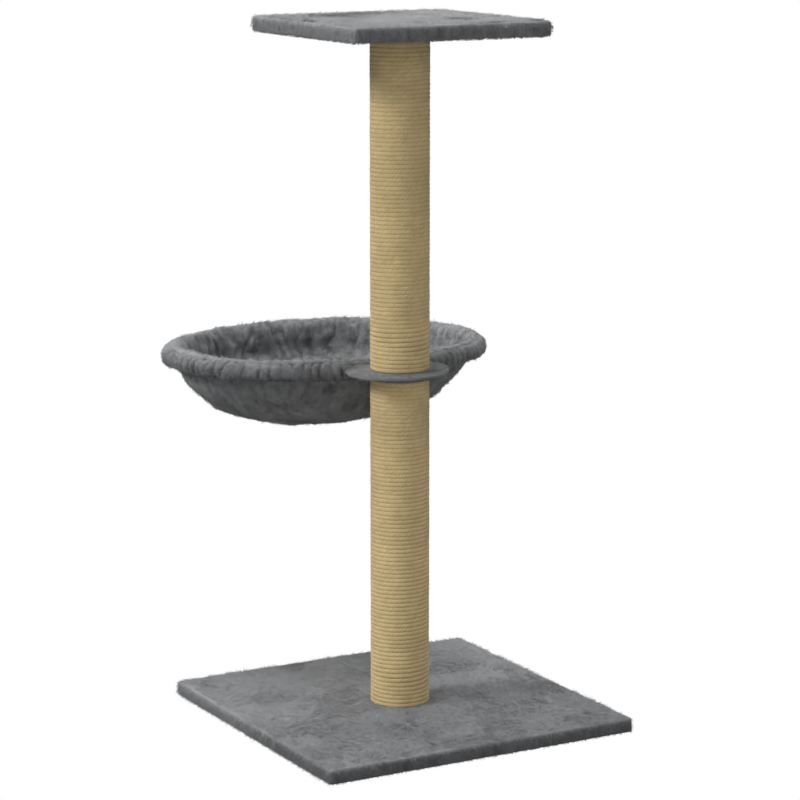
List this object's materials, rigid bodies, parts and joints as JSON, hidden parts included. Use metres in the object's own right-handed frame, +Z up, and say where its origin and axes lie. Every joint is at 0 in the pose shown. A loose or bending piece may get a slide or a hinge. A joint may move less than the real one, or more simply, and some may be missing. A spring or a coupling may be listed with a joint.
{
  "type": "cat tree",
  "caption": "Free-standing cat tree: square plush base, sisal-wound scratching post, plush platform on top, and a round plush hammock on a steel ring that turns about the post.",
  "frame": {"origin": "on the post's axis at the floor, in the plane of the base's underside", "axes": "+Z up along the post, X and Y along the sides of the square base, the hammock stored out over the +Y side"},
  "size_m": [0.4239, 0.635, 0.825],
  "materials": {
    "plush": "matte",
    "hammock_plush": "matte",
    "particle_board": "matte",
    "backing_cloth": "matte",
    "zinc_steel": "satin",
    "paper_tube": "matte",
    "sisal": "matte",
    "plug_wood": "matte",
    "ring_steel": "satin",
    "thread": "matte"
  },
  "bodies": {
    "stand": {"base_board": "particle_board", "base_cover": "plush", "base_backing": "backing_cloth", "base_staples": "zinc_steel", "base_washer": "zinc_steel", "base_bolt": "zinc_steel", "lower_tube": "paper_tube", "lower_rope": "sisal", "lower_foot_plug": "plug_wood", "lower_head_plug": "plug_wood", "upper_tube": "paper_tube", "upper_rope": "sisal", "upper_foot_plug": "plug_wood", "upper_head_plug": "plug_wood", "tee_nuts": "zinc_steel", "plug_nails": "zinc_steel", "rope_staples": "zinc_steel", "joining_stud": "zinc_steel", "top_board": "particle_board", "top_cover": "plush", "top_backing": "backing_cloth", "top_staples": "zinc_steel", "top_washer": "zinc_steel", "top_bolt": "zinc_steel"},
    "hammock": {"hammock_ring": "ring_steel", "hammock_plate": "ring_steel", "collar_cover": "plush", "hammock_rim": "hammock_plush", "hammock_outer": "hammock_plush", "hammock_lining": "hammock_plush", "hem_thread": "thread"}
  },
  "joints": [
    {"name": "hammock_swivel", "type": "hinge", "parent": "stand", "child": "hammock", "pos_m": [0, 0, 0.4165], "axis": [0, 0, 1], "continuous": true}
  ]
}
